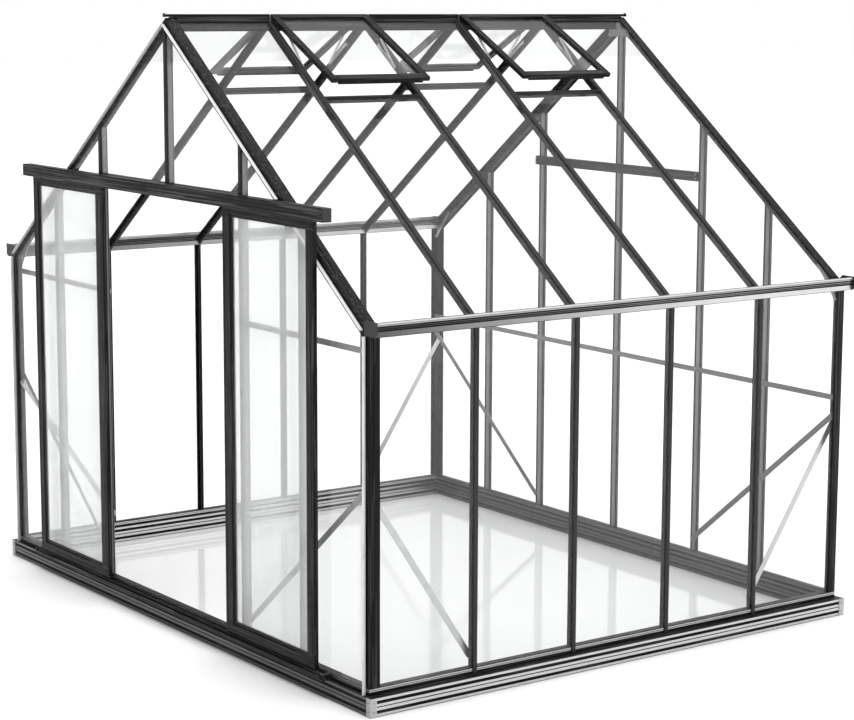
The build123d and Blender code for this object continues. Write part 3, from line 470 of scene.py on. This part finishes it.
def floor_material():
    """Matt white, but faintly polished within the footprint of the greenhouse and painted a shade
    darker there, as painted shade under it.
    """
    t = Material("floor")
    within_x = t.math("LESS_THAN", t.math("ABSOLUTE", t.place["X"]), cad_high[X] - FOOTPRINT_INSET)
    within_y = t.math("LESS_THAN", t.math("ABSOLUTE", t.place["Y"]), cad_high[Y] - FOOTPRINT_INSET)
    within = t.math("MULTIPLY", within_x, within_y)
    outside = t.math("SUBTRACT", 1.0, within)
    cloud = t.noise(0.8, detail=3.0)
    matt = t.mix(t.spread(cloud, *BULK), rgba(0.95), rgba(0.97))
    # painted shade: the floor within the footprint is a shade darker than outside
    polished = t.mix(t.spread(cloud, *BULK), rgba(0.89), rgba(0.91))
    colour = t.mix(within, matt, polished)
    rougher = t.math("MULTIPLY", outside, MATT_ROUGHNESS)
    roughness = t.math("ADD", t.spread(cloud, *BULK, 0.05, 0.08), rougher)
    specular = t.math("MULTIPLY", within, POLISH_SPECULAR)
    return t.finish(t.surface(colour, roughness, Specular_IOR_Level=specular))


span = max(high - low for low, high in zip(cad_low, cad_high))
bpy.ops.mesh.primitive_plane_add(size=span * FLOOR_SPANS, location=(0, 0, cad_low[Z] - FLOOR_DROP))
floor = bpy.context.object
floor.name = "floor"
floor.data.materials.append(floor_material())

# ------------------------------------------------------------------ light
SIDE_BOX_AT, SIDE_BOX_SIZE, SIDE_BOX_WATTS = (9.0, 6.0, 2.0), (9.0, 4.0), 100
SUN_STRENGTH, SUN_SPREAD, SUN_TILT = 2.6, math.radians(60), math.radians(4)
BRIGHT_SIDE = (0.25, 0.95, 0.10)  # towards the right rear
SKY_DIM, SKY_BRIGHT = 0.10, 0.95
SKY_TURN = (-0.5, 0.5)  # how far towards the bright side the sky goes from dim to bright
PANE_BOUNCES, BOUNCES = 48, 8  # a sight line can cross many panes

scene = bpy.context.scene
middle = (Vector(cad_low) + Vector(cad_high)) / 2


def lamp(name, kind, energy):
    """A light's object, linked into the scene."""
    data = bpy.data.lights.new(name, kind)
    data.energy = energy
    made = bpy.data.objects.new(name, data)
    scene.collection.objects.link(made)
    return made


def studio():
    """White to the eye; as a light, bright over the right rear and dim over the left front."""
    t = Tree(bpy.data.worlds.new("studio"))
    way = t.add("ShaderNodeTexCoord").outputs["Generated"]
    towards = t.fill(t.add("ShaderNodeVectorMath", {"operation": "DOT_PRODUCT"}), (way, BRIGHT_SIDE))
    strength = t.spread(towards.outputs["Value"], *SKY_TURN, SKY_DIM, SKY_BRIGHT)
    lit = t.add("ShaderNodeBackground", Color=rgba(1.0), Strength=strength).outputs[0]
    seen = t.add("ShaderNodeBackground", Color=rgba(1.0)).outputs[0]
    by_eye = t.add("ShaderNodeLightPath").outputs["Is Camera Ray"]
    return t.finish(t.both(by_eye, lit, seen), "ShaderNodeOutputWorld")


side_box = lamp("side_box", "AREA", SIDE_BOX_WATTS)
side_box.data.shape = "RECTANGLE"
side_box.data.size, side_box.data.size_y = SIDE_BOX_SIZE
side_box.location = SIDE_BOX_AT
side_box.rotation_euler = (middle - side_box.location).to_track_quat("-Z", "Y").to_euler()

overhead = lamp("overhead", "SUN", SUN_STRENGTH)
overhead.data.angle = SUN_SPREAD
overhead.rotation_euler = (SUN_TILT, -SUN_TILT, 0.0)

scene.world = studio()
scene.view_settings.view_transform = "Standard"
scene.view_settings.look = "None"
scene.cycles.transparent_max_bounces = PANE_BOUNCES
scene.cycles.max_bounces = BOUNCES

# ------------------------------------------------------------------ camera
CAMERA_AT = (10.447, -7.266, 3.372)
AZIMUTH, ELEVATION, ROLL = math.radians(52.845), math.radians(-9.26), math.radians(0.506)
SENSOR_MM, LENS_MM, SHIFT = 36.0, 96.54, -0.0855
FAR_CLIP = 200.0

look = Vector((
    -math.sin(AZIMUTH) * math.cos(ELEVATION),
    math.cos(AZIMUTH) * math.cos(ELEVATION),
    math.sin(ELEVATION),
))
level_right = Vector((math.cos(AZIMUTH), math.sin(AZIMUTH), 0.0))
level_up = level_right.cross(look)
right = level_right * math.cos(ROLL) + level_up * math.sin(ROLL)
up = level_up * math.cos(ROLL) - level_right * math.sin(ROLL)
turned = Matrix((right, up, -look)).transposed().to_4x4()

camera = bpy.data.objects.new("camera", bpy.data.cameras.new("camera"))
scene.collection.objects.link(camera)
camera.data.sensor_width = SENSOR_MM
camera.data.lens = LENS_MM
camera.data.shift_x = SHIFT
camera.data.clip_end = FAR_CLIP
camera.matrix_world = Matrix.Translation(CAMERA_AT) @ turned
scene.camera = camera
